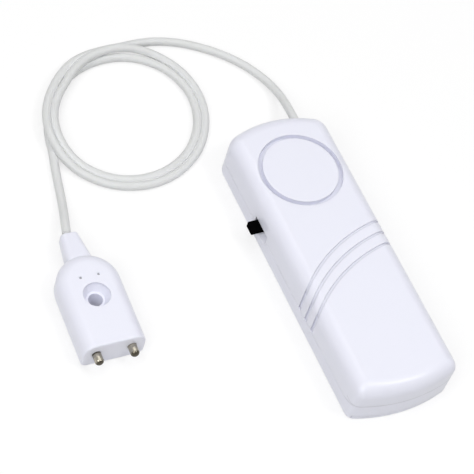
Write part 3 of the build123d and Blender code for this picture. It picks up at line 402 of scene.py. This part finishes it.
# Circuit board: one-sided board of paper laminate, brown on top, with copper tracks under green
# lacquer on the side that faces the back of the case.
board_laminate = plastic("paper laminate board", (0.36, 0.235, 0.105), gloss=0.40,
                         gloss_change=0.12, cloud=0.25, cloud_size=500.0, grain_size=4200.0,
                         grain_depth=0.05)
track_green, gap_green = (0.035, 0.19, 0.05), (0.012, 0.085, 0.022)
track_scale, track_scatter, gap_width = 320.0, 0.55, 0.10
facing_down = -0.5
board_tree = board_laminate.node_tree
board_up = split(board_laminate, "ShaderNodeNewGeometry", "Normal")["Z"]
board_tracks = board_tree.nodes.new("ShaderNodeTexVoronoi")
board_tracks.feature = "DISTANCE_TO_EDGE"
board_tracks.inputs["Scale"].default_value = track_scale
board_tracks.inputs["Randomness"].default_value = track_scatter
board_tree.links.new(board_tree.nodes.new("ShaderNodeTexCoord").outputs["Object"],
                     board_tracks.inputs["Vector"])
track_gap = work_out(board_tree, "LESS_THAN", board_tracks.outputs["Distance"], gap_width)
mark(board_laminate, work_out(board_tree, "LESS_THAN", board_up, facing_down),
     marked=mixed(board_tree, track_gap, track_green, gap_green))
dress(board_laminate, "circuit_board")


# Timing chip: bonded straight to the board and covered by a drop of black resin, which has run
# out into a smooth low dome with a dull rim.
resin_black = plastic("black resin drop", (0.012, 0.012, 0.013), gloss=0.22, gloss_change=0.3,
                      cloud=0.4, cloud_size=300.0, grain_size=700.0, grain_depth=0.06)
dress(resin_black, "chip_drop")


# Drive transistor: a small three-legged body of black moulded epoxy, matt from its mould, its
# legs soldered into the board.
epoxy_black = plastic("black moulded epoxy", (0.022, 0.022, 0.024), gloss=0.55, gloss_change=0.15,
                      cloud=0.3, cloud_size=700.0, grain_size=6000.0, grain_depth=0.12)
dress(epoxy_black, "drive_transistor")


# Capacitor: an aluminium can that stands on the board in a tight dark blue sleeve, shrunk on so
# that it leaves the top of the can bare.
sleeve_blue = plastic("dark blue sleeve", (0.012, 0.02, 0.085), gloss=0.28, gloss_change=0.12,
                      cloud=0.15, cloud_size=260.0, grain_size=900.0, grain_depth=0.04)
can_colour = (0.62, 0.62, 0.63)
can_top_facing = 0.95
sleeve_tree = sleeve_blue.node_tree
can_bare = work_out(sleeve_tree, "GREATER_THAN",
                    split(sleeve_blue, "ShaderNodeNewGeometry", "Normal")["Z"], can_top_facing)
mark(sleeve_blue, can_bare, marked=can_colour)
sleeve_tree.links.new(can_bare, sleeve_tree.nodes["Principled BSDF"].inputs["Metallic"])
dress(sleeve_blue, "capacitor")


# Resistors: small round bodies in tan lacquer, each with its bands of colour all round, which lie
# on the board on their own wires.
resistor_tan = plastic("tan resistor lacquer", (0.46, 0.33, 0.17), gloss=0.30, gloss_change=0.1,
                       cloud=0.12, cloud_size=500.0, grain_size=1500.0, grain_depth=0.05)
band_colour = (0.16, 0.035, 0.02)
band_scale, band_edge = 380.0, 0.86


def stripes(finish, direction, scale, distortion=0.0):
    """Even stripes across one direction, which swing between 0 and 1."""
    tree = finish.node_tree
    wave = tree.nodes.new("ShaderNodeTexWave")
    wave.bands_direction = direction
    wave.inputs["Scale"].default_value = scale
    wave.inputs["Distortion"].default_value = distortion
    tree.links.new(tree.nodes.new("ShaderNodeTexCoord").outputs["Object"], wave.inputs["Vector"])
    return wave.outputs["Fac"]


mark(resistor_tan, work_out(resistor_tan.node_tree, "GREATER_THAN",
                            stripes(resistor_tan, "X", band_scale), band_edge),
     marked=band_colour)
dress(resistor_tan, "resistors")


# Step-up coil: a drum of dark grey pressed ferrite, wound with fine enamelled copper wire whose
# turns lie side by side in layers.
ferrite = plastic("pressed ferrite", (0.055, 0.055, 0.06), gloss=0.62, gloss_change=0.12,
                  cloud=0.25, cloud_size=900.0, grain_size=7000.0, grain_depth=0.20)
dress(ferrite, "coil_core")


line_detail, breath_scale, breath_detail = 2.0, 350.0, 2.0


def rolled_sheen():
    """Shared surface of drawn, rolled and turned metal: fine lines one way, and slight tarnish."""
    group = shared_surface("rolled sheen", (
        ("Colour", "Color", (0.7, 0.7, 0.7, 1)), ("Roughness", "Float", 0.2),
        ("Line Change", "Float", 0.1), ("Line Depth", "Float", 0.05),
        ("Lines", "Vector", (400.0, 6000.0, 6000.0)), ("Tarnish", "Float", 0.1)))
    given = group.nodes.new("NodeGroupInput").outputs
    result = group.nodes.new("NodeGroupOutput").inputs
    place = group.nodes.new("ShaderNodeTexCoord").outputs["Object"]
    drawn_out = group.nodes.new("ShaderNodeVectorMath")
    drawn_out.operation = "MULTIPLY"
    group.links.new(place, drawn_out.inputs[0])
    group.links.new(given["Lines"], drawn_out.inputs[1])
    lines = mottle(group, drawn_out.outputs[0], 1.0, line_detail)
    rough = work_out(group, "MULTIPLY_ADD", work_out(group, "SUBTRACT", lines, 0.5),
                     given["Line Change"], given["Roughness"])
    breath = mottle(group, place, breath_scale, breath_detail)
    kept = work_out(group, "SUBTRACT", 1.0,
                    work_out(group, "MULTIPLY", breath, given["Tarnish"]))
    group.links.new(tinted(group, given["Colour"], kept), result["Colour"])
    group.links.new(rough, result["Roughness"])
    group.links.new(work_out(group, "MULTIPLY", lines, given["Line Depth"]), result["Height"])
    return group


sheen = rolled_sheen()


sheen_relief = 0.0001


def metal(name, colour, roughness, line_change, line_depth, lines, tarnish):
    """A metal of this object: the shared rolled sheen under a plain metallic shader."""
    made = finish_from(sheen, name, colour, sheen_relief, {
        "Roughness": roughness, "Line Change": line_change, "Line Depth": line_depth,
        "Lines": lines, "Tarnish": tarnish})
    made.node_tree.nodes["Principled BSDF"].inputs["Metallic"].default_value = 1.0
    return made


winding_copper = metal("enamelled copper winding", (0.62, 0.22, 0.09), roughness=0.30,
                       line_change=0.15, line_depth=0.2, lines=(300.0, 300.0, 9000.0),
                       tarnish=0.25)
turns_scale, turns_unevenness = 1600.0, 0.4
winding_copper.node_tree.links.new(
    stripes(winding_copper, "Z", turns_scale, turns_unevenness),
    node_of(winding_copper, "BUMP").inputs["Height"])
dress(winding_copper, "coil_winding")


# Sounder: a thin brass plate pressed into its seat under the front, with a silvered ceramic disc
# bonded under it. Its two black leads hang down to the board.
sounder_brass = metal("rolled sounder brass", (0.70, 0.46, 0.16), roughness=0.26, line_change=0.12,
                      line_depth=0.06, lines=(500.0, 7000.0, 500.0), tarnish=0.2)
dress(sounder_brass, "sounder_plate")
sounder_silver = metal("silvered ceramic", (0.74, 0.72, 0.66), roughness=0.42, line_change=0.15,
                       line_depth=0.10, lines=(1400.0, 1400.0, 1400.0), tarnish=0.25)
dress(sounder_silver, "sounder_ceramic")
lead_black = plastic("black lead insulation", (0.014, 0.014, 0.015), gloss=0.34, gloss_change=0.1,
                     cloud=0.3, cloud_size=300.0, grain_size=2400.0, grain_depth=0.03)
dress(lead_black, "sounder_leads")


# Slide switch: a small can of tinned sheet steel, closed at the back by a plate of brown phenolic
# paper that carries its three plated terminals, soldered into the board.
switch_tin = metal("tinned switch steel", (0.60, 0.60, 0.61), roughness=0.32, line_change=0.15,
                   line_depth=0.06, lines=(900.0, 900.0, 5200.0), tarnish=0.2)
dress(switch_tin, "switch_can")
base_brown = plastic("brown phenolic base", (0.13, 0.06, 0.025), gloss=0.5, gloss_change=0.15,
                     cloud=0.3, cloud_size=800.0, grain_size=5000.0, grain_depth=0.08)
dress(base_brown, "switch_base")


# Switch knob: small, moulded in black in one piece with its slider, with a finely sparked surface
# that mirrors nothing.
knob_black = plastic("black knob", (0.002, 0.002, 0.0022), gloss=0.55, gloss_change=0.15,
                     cloud=0.3, cloud_size=400.0, grain_size=5200.0, grain_depth=0.08)
knob_black.node_tree.nodes["Principled BSDF"].inputs["Specular IOR Level"].default_value = 0.0
dress(knob_black, "switch_knob")


# Contacts: thin nickel-plated spring sheet. The bridge and the two leaves stand over the cells,
# the plate is let into the door, and the switch's terminals have the same plating.
contact_nickel = metal("nickel-plated spring sheet", (0.62, 0.60, 0.55), roughness=0.28,
                       line_change=0.14, line_depth=0.05, lines=(600.0, 6500.0, 600.0),
                       tarnish=0.18)
dress(contact_nickel, "battery_contacts", "door_contact", "switch_terminals")


# Button cells: pressed steel cans with a satin finish and a dark seal between can and cap. The
# first and the third lie with their caps to the upper contacts, the middle one faces the door.
cell_steel = metal("satin cell can", (0.66, 0.66, 0.67), roughness=0.30, line_change=0.16,
                   line_depth=0.05, lines=(3000.0, 3000.0, 600.0), tarnish=0.12)
cap_height, seal_half_width = 0.0006, 0.00012
seal_colour = (0.05, 0.05, 0.055)
seal_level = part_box("button_cells")[1][2] - cap_height
mark(cell_steel, work_out(cell_steel.node_tree, "COMPARE",
                          split(cell_steel, "ShaderNodeTexCoord", "Object")["Z"],
                          seal_level, seal_half_width),
     marked=seal_colour)
dress(cell_steel, "button_cells")


# Battery leads: two lengths of stranded wire from the tabs of the contacts to the board, one in
# red insulation on the left and one in black on the right.
lead_red = plastic("red and black lead insulation", (0.50, 0.02, 0.015), gloss=0.32,
                   gloss_change=0.1, cloud=0.1, cloud_size=300.0, grain_size=2400.0,
                   grain_depth=0.03)
black_lead_colour = (0.013, 0.013, 0.014)
between_leads = 0.0
mark(lead_red, work_out(lead_red.node_tree, "GREATER_THAN",
                        split(lead_red, "ShaderNodeTexCoord", "Object")["X"], between_leads),
     marked=black_lead_colour)
dress(lead_red, "battery_leads")


# Screws: small pan heads with a cross recess on rolled threads, bright zinc plated. Three close
# the case from the back, their heads deep in the columns, and two hold the board down.
screw_zinc = metal("bright zinc screw", (0.56, 0.56, 0.59), roughness=0.24, line_change=0.14,
                   line_depth=0.05, lines=(2600.0, 2600.0, 2600.0), tarnish=0.2)
head_sides, thread_sides, levels_per_turn = 40, 20, 6
# from the back of the head to its face: share of its radius, share of its thickness
head_profile = ((1.0, 0.0), (1.0, 0.45), (0.95, 0.78), (0.84, 0.95), (0.74, 1.0))
recess_arm, recess_reach = 0.17, 0.60       # half width and reach of the cross, to the radius
recess_taper, recess_depth = 0.72, 0.55     # its size at the bottom, and its depth in the head
thread_root = 0.74                          # radius between two crests, to that of a crest
tip_radius, tip_growth = 0.45, 0.12         # the thread at its tip, and its growth per level
sharp_angle = math.radians(38)


def cross_screw(name, node, places, head_face, head_back, tip, head_radius, shank_radius, pitch):
    """Like screws at places, as one piece: crowned head with a cross recess, and a thread."""
    made = bmesh.new()
    thickness = head_face - head_back
    arm, reach = recess_arm * head_radius, recess_reach * head_radius
    cross = [(arm, reach), (arm, arm), (reach, arm), (reach, -arm), (arm, -arm), (arm, -reach),
             (-arm, -reach), (-arm, -arm), (-reach, -arm), (-reach, arm), (-arm, arm),
             (-arm, reach)]
    levels = int(abs(tip - head_back) / pitch * levels_per_turn)

    def ring(middle, radii, height):
        turns = [2 * math.pi * i / len(radii) for i in range(len(radii))]
        return [made.verts.new((middle[0] + radius * math.cos(turn),
                                middle[1] + radius * math.sin(turn), height))
                for radius, turn in zip(radii, turns)]

    def recess(middle, size, height):
        return [made.verts.new((middle[0] + size * x, middle[1] + size * y, height))
                for x, y in cross]

    def skirts(rings):
        for first, second in zip(rings, rings[1:]):
            for i in range(len(first)):
                made.faces.new((first[i - 1], first[i], second[i], second[i - 1]))

    for middle in places:
        head = [ring(middle, [shank_radius] * head_sides, head_back)]
        head += [ring(middle, [share * head_radius] * head_sides, head_back + up * thickness)
                 for share, up in head_profile]
        skirts(head)
        edge = recess(middle, 1.0, head_face)
        foot = recess(middle, recess_taper, head_face - recess_depth * thickness)
        skirts([edge, foot])
        made.faces.new(foot)
        crown = [made.edges.get((border[i - 1], border[i]))
                 for border in (head[-1], edge) for i in range(len(border))]
        bmesh.ops.triangle_fill(made, edges=crown, use_beauty=True)
        thread = []
        for level in range(levels + 1):
            height = head_back + (tip - head_back) * level / levels
            outer = shank_radius * min(1.0, tip_radius + tip_growth * (levels - level))
            turned = [abs(height - head_back) / pitch - i / thread_sides
                      for i in range(thread_sides)]
            crests = [1 - abs(2 * (turn % 1.0) - 1) for turn in turned]
            thread.append(ring(middle, [outer * (thread_root + (1 - thread_root) * crest)
                                        for crest in crests], height))
        skirts(thread)
        made.faces.new(thread[-1])
    bmesh.ops.recalc_face_normals(made, faces=made.faces)
    mesh = bpy.data.meshes.new(name)
    made.to_mesh(mesh)
    made.free()
    mesh.polygons.foreach_set("use_smooth", [True] * len(mesh.polygons))
    mesh.set_sharp_from_angle(angle=sharp_angle)
    mesh.materials.append(screw_zinc)
    screws = place_new(name, mesh)
    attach(screws, "alarm")
    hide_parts(node)


cross_screw("cross_recess_case_screws", "case_screws",
            [(-0.0085, 0.0400), (0.0109, -0.0146), (-0.0109, -0.0146)],
            head_face=0.0006, head_back=0.0020, tip=0.0103, head_radius=0.0019,
            shank_radius=0.00099, pitch=0.0008)
cross_screw("cross_recess_board_screws", "board_screws",
            [(-0.0103, 0.0008), (0.0103, 0.0188)],
            head_face=0.0052, head_back=0.0040, tip=0.0009, head_radius=0.0017,
            shank_radius=0.00089, pitch=0.0007)


# Contact pins of the probe: turned brass rods with nickel plating, domed at their ends. Painted
# shade darkens them to brown where they leave the housing and along their undersides, and a
# painted dark reflection lies round the tips.
pin_nickel = metal("nickel pin", (0.45, 0.42, 0.35), roughness=0.16, line_change=0.14,
                   line_depth=0.06, lines=(900.0, 9000.0, 900.0), tarnish=0.2)
pin_painted_shade_colour = (0.09, 0.08, 0.06)
pin_tree = pin_nickel.node_tree
pin_at = split(pin_nickel, "ShaderNodeTexCoord", "Object")


def painted_darkening(axis, bright, darkest_at):
    """How darkly shade and reflection are painted on the pins, from where they are left bright to
    where they are darkest.
    """
    fading = pin_tree.nodes.new("ShaderNodeMapRange")
    fading.inputs["From Min"].default_value = bright
    fading.inputs["From Max"].default_value = darkest_at
    pin_tree.links.new(pin_at[axis], fading.inputs["Value"])
    return fading.outputs[0]


# painted shade at the roots and along the undersides, and a painted dark reflection round the tips
pin_root_shade, pin_underside_shade = painted_darkening("Y", -0.00835, -0.00795), painted_darkening("Z", 0.0050, 0.0039)
pin_tip_reflection = painted_darkening("Y", -0.0102, -0.0107)
mark(pin_nickel, highest(pin_tree, pin_root_shade, pin_underside_shade, pin_tip_reflection), marked=pin_painted_shade_colour)
dress(pin_nickel, "contact_pins")


# Table: plain and pale, a hair under the back of the case. It fades into the white of the room
# and keeps the soft shadow, and from below it is clear, so that the back can be seen.
table_reach, table_level = 3.0, -0.00005
table_colour, table_seen_colour = (0.74, 0.74, 0.74), (1, 1, 1)
table_fade = 0.62       # how much of the room's white covers it
sheet = bpy.data.meshes.new("table")
sheet.from_pydata([(x * table_reach, y * table_reach, table_level)
                   for x, y in ((-1, -1), (1, -1), (1, 1), (-1, 1))], [], [(0, 1, 2, 3)])
table = place_new("table", sheet)
table_white = bpy.data.materials.new("white table")
table_white.use_nodes = True
table_tree = table_white.node_tree
table_shader = table_tree.nodes["Principled BSDF"]
table_shader.inputs["Roughness"].default_value = 0.9
table_shader.inputs["Specular IOR Level"].default_value = 0.1


def seen_rays(tree):
    """1 for what the camera sees, by itself, in gloss and through glass, and 0 for the light."""
    ray = tree.nodes.new("ShaderNodeLightPath").outputs
    return highest(tree, ray["Is Camera Ray"], ray["Is Glossy Ray"], ray["Is Transmission Ray"])


def either_shader(tree, share, first, second):
    """A shader that goes from the first to the second as share goes from 0 to 1."""
    either = tree.nodes.new("ShaderNodeMixShader")
    for socket, value in zip(either.inputs, (share, first, second)):
        tree.links.new(value, socket)
    return either.outputs[0]


table_seen = seen_rays(table_tree)
table_tree.links.new(mixed(table_tree, table_seen, table_colour, table_seen_colour),
                     table_shader.inputs["Base Color"])
table_faded = either_shader(
    table_tree, work_out(table_tree, "MULTIPLY", table_seen, table_fade),
    table_shader.outputs[0], table_tree.nodes.new("ShaderNodeEmission").outputs[0])
table_sides = either_shader(
    table_tree, table_tree.nodes.new("ShaderNodeNewGeometry").outputs["Backfacing"],
    table_faded, table_tree.nodes.new("ShaderNodeBsdfTransparent").outputs[0])
table_tree.links.new(table_sides, table_tree.nodes["Material Output"].inputs["Surface"])
sheet.materials.append(table_white)


# Light: a white room, a wide soft box overhead, one over the viewer's left shoulder that reaches
# into the hollows, and a narrow one whose reflection runs along the shoulder of the lower end.
room = bpy.data.worlds.new("white room")
room.use_nodes = True
bpy.context.scene.world = room
room_tree = room.node_tree
room_light = room_tree.nodes["Background"]
room_light.inputs["Color"].default_value = (1, 1, 1, 1)
room_light.inputs["Strength"].default_value = 0.25
room_seen = room_tree.nodes.new("ShaderNodeBackground")
room_seen.inputs["Strength"].default_value = 1.0
room_tree.links.new(
    either_shader(room_tree, seen_rays(room_tree), room_light.outputs[0], room_seen.outputs[0]),
    room_tree.nodes["World Output"].inputs["Surface"])


def soft_box(name, place, aim, side, power):
    """A square lamp at a place, turned to the point it lights."""
    lamp = bpy.data.lights.new(name, "AREA")
    lamp.shape = "RECTANGLE"
    lamp.size = side
    lamp.size_y = side
    lamp.energy = power
    box = place_new(name, lamp)
    box.location = place
    box.rotation_euler = (Vector(aim) - Vector(place)).to_track_quat("-Z", "Y").to_euler()


alarm_and_cable, lower_end = (-0.02, 0.02, 0), (0, -0.04, 0)
soft_box("overhead box", (0.12, 0.25, 1.2), alarm_and_cable, side=1.3, power=5.75)
soft_box("front box", (-0.70, -0.38, 0.97), alarm_and_cable, side=0.9, power=8.2)
soft_box("end box", (0.46, -0.40, 1.05), lower_end, side=0.26, power=2.45)

bpy.context.scene.view_settings.view_transform = "Standard"
